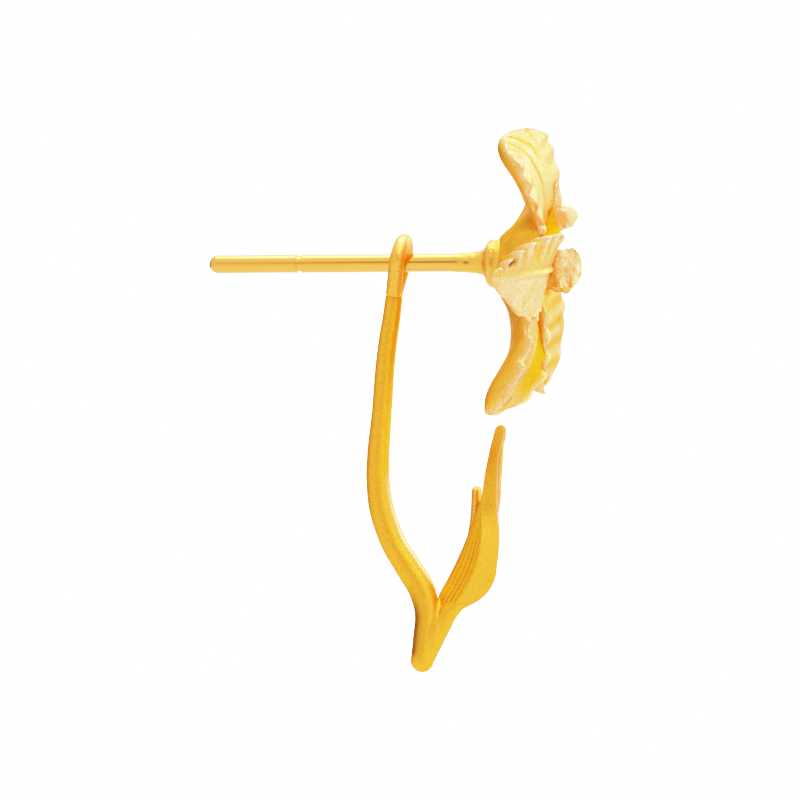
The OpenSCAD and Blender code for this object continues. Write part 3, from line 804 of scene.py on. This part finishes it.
# painted shade towards the far leg and a painted highlight near the top on the near side
make_piece("drop_ring", DROP, lean_and_place(rings), drop_gold,
           {"fold": 0.2 * ease(0.55, 0.9, tt), "pale_and_highlight": 0.12 + 0.5 * hump(tt - 0.42, 0.15)}, chart)

# stem: its radius goes with its path, point by point
STEM = [(-2.66, 0, -1.78), (-2.78, 0, -2.75), (-2.93, 0, -3.7), (-3.08, 0, -4.9),
        (-3.18, 0, -6.1), (-3.26, 0, -7.3), (-3.36, 0, -8.4), (-3.45, 0, -9.6),
        (-3.47, 0, -10.8), (-3.28, 0, -12.3), (-2.72, 0, -13.9), (-1.96, 0, -15.15),
        (-1.26, 0, -16.3), (-0.98, 0, -17.5), (-1.1, 0, -18.8), (-1.22, 0, -19.88)]
STEM_R = [0.43, 0.45, 0.47, 0.48, 0.49, 0.5, 0.53, 0.57,
          0.59, 0.62, 0.63, 0.66, 0.66, 0.61, 0.58, 0.57]


def stem_wear(tt, aa, length):
    return 0.012 * sway(tt * length * 0.7, aa, 71) + 0.003 * sway(tt * length * 4, aa * 3, 72)


# a painted dark reflection on the left of the lower stem, painted shade down the front above and
# at the foot, and a painted highlight line down the bend
rings, chart, tt, aa = bar(STEM, STEM_R, 260, 56, relief=stem_wear)
shade_and_stain = 0.85 * hump(aa - 3.75, 0.6) * span(tt, 0.74, 0.88, 0.97, 1)
shaded_foot = 0.35 * ease(0.8, 1.0, tt) * (0.5 + 0.5 * np.cos(aa))
shaded_front = 0.6 * hump(aa - 5.4, 0.4) * (1 - ease(0.5, 0.6, tt))
highlight_line = hump(aa - 5.8, 0.2) * span(tt, 0.5, 0.58, 0.76, 0.82)
make_piece("drop_stem", DROP, rings, drop_gold,
           {"shade_and_stain": shade_and_stain, "fold": shaded_foot + shaded_front, "pale_and_highlight": highlight_line}, chart)

STALK = [(0.5, -0.1, -17.05), (0.07, -0.05, -17.5), (-0.29, 0, -18.2), (-0.65, 0, -19.0),
         (-1.0, 0, -19.8)]


def stalk_wear(tt, aa, length):
    return 0.03 * sway(tt * length * 2.2, aa * 1.5, 81) + 0.012 * sway(tt * length * 8, aa * 4, 82)


rings, chart, *_ = bar(STALK, [0.4, 0.48, 0.48, 0.42, 0.38], 90, 48, relief=stalk_wear)
# a little painted shade all over
make_piece("leaf_stalk", DROP, rings, drop_gold, {"fold": 0.1}, chart)

# the web that fills the fork between stem and stalk, with painted shade at its top in the fork
WEB = [(-0.36, 0, -16.78), (-0.39, -0.04, -17.15), (-0.46, -0.07, -17.65), (-0.58, -0.12, -18.3),
       (-0.72, -0.12, -19.0), (-0.9, -0.08, -19.6)]
rings, chart, tt, aa = bar(WEB, [0.06, 0.25, 0.4, 0.46, 0.42, 0.3], 90, 48, relief=stalk_wear)
make_piece("fork_web", DROP, rings, drop_gold, {"fold": 0.5 * (1 - ease(0.1, 0.4, tt))}, chart)

# the long leaf is folded along its keel, from the stalk to the tip
KEEL = [(0.1, -0.35, -17.5), (0.72, -0.8, -16.8), (1.25, -0.95, -15.95), (1.68, -0.95, -14.95),
        (1.88, -0.9, -13.6), (1.78, -0.6, -12.1), (1.8, -0.2, -10.85), (2.0, 0, -9.6),
        (2.2, 0.05, -8.75), (2.4, 0, -8.08)]
NEAR_MARGIN = [(0.6, 0.05, -17.4), (1.75, 0.1, -16.75), (2.36, 0.1, -15.95), (2.58, 0, -14.95),
               (2.7, -0.1, -13.6), (2.66, -0.4, -12.1), (2.69, -0.6, -10.85), (2.76, -0.55, -9.6),
               (2.94, -0.35, -8.75), (2.98, -0.2, -8.08)]
FAR_MARGIN = [(-0.65, 0.1, -17.3), (-0.4, 0.25, -16.55), (-0.05, 0.5, -15.85), (0.4, 0.55, -14.95),
              (0.98, 0.6, -13.6), (1.5, 0.8, -12.1), (2.5, 0.8, -10.85), (2.66, 0.65, -9.6),
              (2.92, 0.45, -8.75), (2.98, 0.2, -8.08)]
LEAF_LENGTH, LEAF_WALL, LEAF_RIBS, LEAF_RIB_DEPTH = 9.5, 0.36, 5, 0.05


def add_long_leaf(rows=220, half=34):
    """A leaf folded along its keel, ribbed on its far flank and smooth on its near one. s goes
    over the outside from -1 at the near margin by 0 at the keel to 1 at the far one, and back
    again inside."""
    t = np.linspace(0, 1, rows)
    tt = t[:, None]
    keel, near, far = along(KEEL, t), along(NEAR_MARGIN, t), along(FAR_MARGIN, t)
    heart = keel / 2 + (near + far) / 4
    close = rounded_off(tt, 0.968, 2.2, 0.01)
    keel, near, far = (heart + (line - heart) * close for line in (keel, near, far))
    inward, over_gap = unit((near + far) / 2 - keel)[:, None], unit(far - near)[:, None]
    wall = np.minimum(LEAF_WALL, 0.36 * np.linalg.norm(far - near, axis=1))[:, None]

    j = np.arange(4 * half)
    outside = j <= 2 * half
    s = np.where(outside, j / half - 1, 3 - j / half)
    a = np.abs(s)
    to_margin = np.where((s < 0)[:, None], near[:, None], far[:, None]) - keel[:, None]
    flank = np.linalg.norm(to_margin, axis=-1)
    bend = 0.12 * (1 - a) ** 2
    skin = keel[:, None] + to_margin * a[:, None] + inward * bend[:, None]
    inner = unit(inward * (1 - a)[:, None] - over_gap * (0.7 * s)[:, None])

    ribs = (LEAF_RIB_DEPTH * np.cos(TAU * (a * LEAF_RIBS - 0.28)) * span(a, 0.02, 0.16, 0.9, 1)
            * ease(0.02, 0.12, tt) * (1 - 0.6 * ease(0.62, 0.85, tt))
            * np.minimum(1, flank / 1.1))
    by_keel = 0.07 * hump((a - 0.03) * flank, 0.07) * (1 - ease(0.7, 0.9, tt))
    rib = np.where(s > 0, ribs - by_keel, 0)
    thick = wall * rounded_off(a, 0, 6)
    rings = skin + inner * np.where(outside, -rib, thick)[..., None]

    # painted shade in rib grooves, far flank and inside; painted highlight by the near margin
    grooves = 0.75 * np.clip(-rib / LEAF_RIB_DEPTH, 0, 1) + 0.35 * (s > 0)
    paint = {"fold": np.where(outside, np.minimum(1, grooves), 0.6),
             "pale_and_highlight": 0.9 * (1 - ease(-0.96, -0.85, s)) * ease(0.4, 0.55, tt),
             "shade_and_stain": 0.05}
    chart = np.stack([s * flank, tt * LEAF_LENGTH + 0 * flank], -1)
    make_piece("long_leaf", DROP, rings, drop_gold, paint, chart)


add_long_leaf()

# the far flank's rolled edge, seen past the near margin
FAR_ROLL = [(2.78, 0.0, -8.4), (2.76, 0.02, -9.2), (2.68, 0.05, -10.0), (2.62, 0.05, -10.9),
            (2.6, 0.05, -11.8), (2.5, 0.05, -12.8)]
rings, chart, *_ = bar(FAR_ROLL, [0.10, 0.14, 0.16, 0.15, 0.13, 0.08], 120, 32, relief=stalk_wear)
# a little painted shade and painted highlight all over
make_piece("leaf_far_roll", DROP, rings, drop_gold, {"fold": 0.2, "pale_and_highlight": 0.3}, chart)

SHORT_LEAF = [(0.3, 0.35, -16.8), (0.8, 0.6, -15.6), (1.12, 0.85, -14.1), (1.32, 1.05, -12.7),
              (1.36, 1.15, -11.42)]


def short_leaf_ribs(tt, aa, length):
    return 0.03 * np.cos(9 * aa) * (1 - ease(0.4, 0.7, tt)) + 0.01 * sway(tt * length * 2, aa, 91)


rings, chart, *_ = bar(SHORT_LEAF, [0.25, 0.26, 0.27, 0.27, 0.26], 110, 72, squash=2,
                       relief=short_leaf_ribs)
# some paleness all over, partly painted highlight
make_piece("short_leaf", DROP, rings, drop_gold, {"pale_and_highlight": 0.22}, chart)


# ---------------------------------------------------------------- stage, light and camera

FLOOR_GREY = (0.72, 0.72, 0.72, 1)
TENT_WHITE = (1, 1, 1, 1)
SLIT_AMBER = (0.36, 0.13, 0.035, 1)
CARD_BROWN = (0.60, 0.36, 0.18, 1)

# as bright as the picture goes: the white behind the earring
BRIGHTEST = 2.5
LIGHTS_AIM = Vector((0, 0, -0.006))


def add_floor(sides=96, radius=0.27, fade=0.2, low=-0.06):
    """A pale round table far enough below that the level view passes over it. It fades out from
    fade to its rim."""
    angles = np.linspace(0, TAU, sides, endpoint=False)
    mesh = bpy.data.meshes.new("floor")
    mesh.from_pydata([(radius * math.cos(k), radius * math.sin(k), low) for k in angles], [],
                     [list(range(sides))])
    b = Bench(bpy.data.materials.new("pale_floor"))
    from_middle = b.add("ShaderNodeVectorMath", {"operation": "LENGTH"}, {0: b.place()},
                        out="Value")
    b.set(Base_Color=FLOOR_GREY, Roughness=0.9, Alpha=b.step(from_middle, fade, radius, 1.0, 0.0))
    mesh.materials.append(b.owner)
    floor = bpy.data.objects.new("floor", mesh)
    bpy.context.scene.collection.objects.link(floor)


def add_softbox(name, place, size, glow):
    """A round softbox that shines glow times as bright as the white surroundings. A disk lamp
    of brightness 1 takes pi watts for each square metre."""
    light = bpy.data.lights.new(name, "AREA")
    light.shape, light.size = "DISK", size
    light.energy = glow * math.pi * (math.pi * (size / 2) ** 2)
    lamp = bpy.data.objects.new(name, light)
    lamp.location = place
    lamp.rotation_euler = (LIGHTS_AIM - Vector(place)).to_track_quat("-Z", "Y").to_euler()
    lamp.visible_camera = False
    bpy.context.scene.collection.objects.link(lamp)


def add_light_tent():
    """A white tent, brighter overhead, with a warm dark slit by the lens and a dark card behind
    on the left."""
    b = Bench(bpy.data.worlds.new("light_tent"), "Background")
    bpy.context.scene.world = b.owner
    towards = b.add("ShaderNodeTexCoord", out="Generated")
    split = b.add("ShaderNodeSeparateXYZ", {}, {0: towards}).socket.node
    right, back, high = (Wire(b, split.outputs[axis]) for axis in "XYZ")
    off_slit = high - 0.13
    slit = (b.step(off_slit * off_slit, 0.006, 0.034, 1.0, 0.0) * b.step(right, -0.225, -0.16)
            * b.step(right, 0.25, 0.5, 1.0, 0.0) * b.step(back, -0.8, -0.5, 1.0, 0.0))
    card = b.step(back * 0.5 - right * 0.86 - high * 0.1, 0.8, 0.96)
    lit = b.step(high * 0.55 + right * 0.55 + back * 0.2, -0.25, 0.9, 0.93, 1.5)
    seen = b.add("ShaderNodeLightPath", out="Is Camera Ray")
    tent = b.blend(slit * (1.0 - seen), TENT_WHITE, SLIT_AMBER)
    b.set(Color=b.blend(card * (1.0 - seen), tent, CARD_BROWN),
          Strength=lit + seen * (BRIGHTEST - lit))


add_floor()
add_softbox("overhead_softbox", (0.0, 0.02, 0.25), 0.2, 3.0)
add_softbox("key_softbox", (0.12, -0.16, 0.18), 0.07, 5.0)
add_softbox("rim_softbox", (0.17, 0.15, 0.10), 0.08, 5.0)
add_light_tent()

# the photo's view: level, ten degrees round towards the front of the flower
AIM = Vector((-2.35, 0, -6.85)) * MM
AWAY, ROUND = 0.17, math.radians(10)
SENSOR_MM, LENS_MM = 36, 153
camera_data = bpy.data.cameras.new("photo_camera")
camera_data.sensor_width = SENSOR_MM
camera_data.lens = LENS_MM
camera = bpy.data.objects.new("photo_camera", camera_data)
camera.location = AIM + Vector((math.sin(ROUND), -math.cos(ROUND), 0)) * AWAY
camera.rotation_euler = (AIM - camera.location).to_track_quat("-Z", "Y").to_euler()
bpy.context.scene.collection.objects.link(camera)
bpy.context.scene.camera = camera

# the camera's soft shoulder: bright gold rolls off towards white and does not clip, and the
# brightest gold turns cream
ALL_CURVE, BLUE_CURVE = 3, 2
SHOULDER = ((0.6, 0.6), (0.85, 0.80), (1.0, 0.86), (1.3, 0.91), (1.7, 0.95), (2.1, 0.98))
CREAM = ((0.05, 0.045), (0.12, 0.12), (0.3, 0.38), (0.45, 0.64), (0.7, 0.88))
view = bpy.context.scene.view_settings
view.view_transform = "Standard"
view.use_curve_mapping = True
view.curve_mapping.white_level = (BRIGHTEST, BRIGHTEST, BRIGHTEST)
curves = view.curve_mapping.curves
for light, shown in SHOULDER:
    curves[ALL_CURVE].points.new(light / BRIGHTEST, shown)
for light, shown in CREAM:
    curves[BLUE_CURVE].points.new(light, shown)
view.curve_mapping.update()
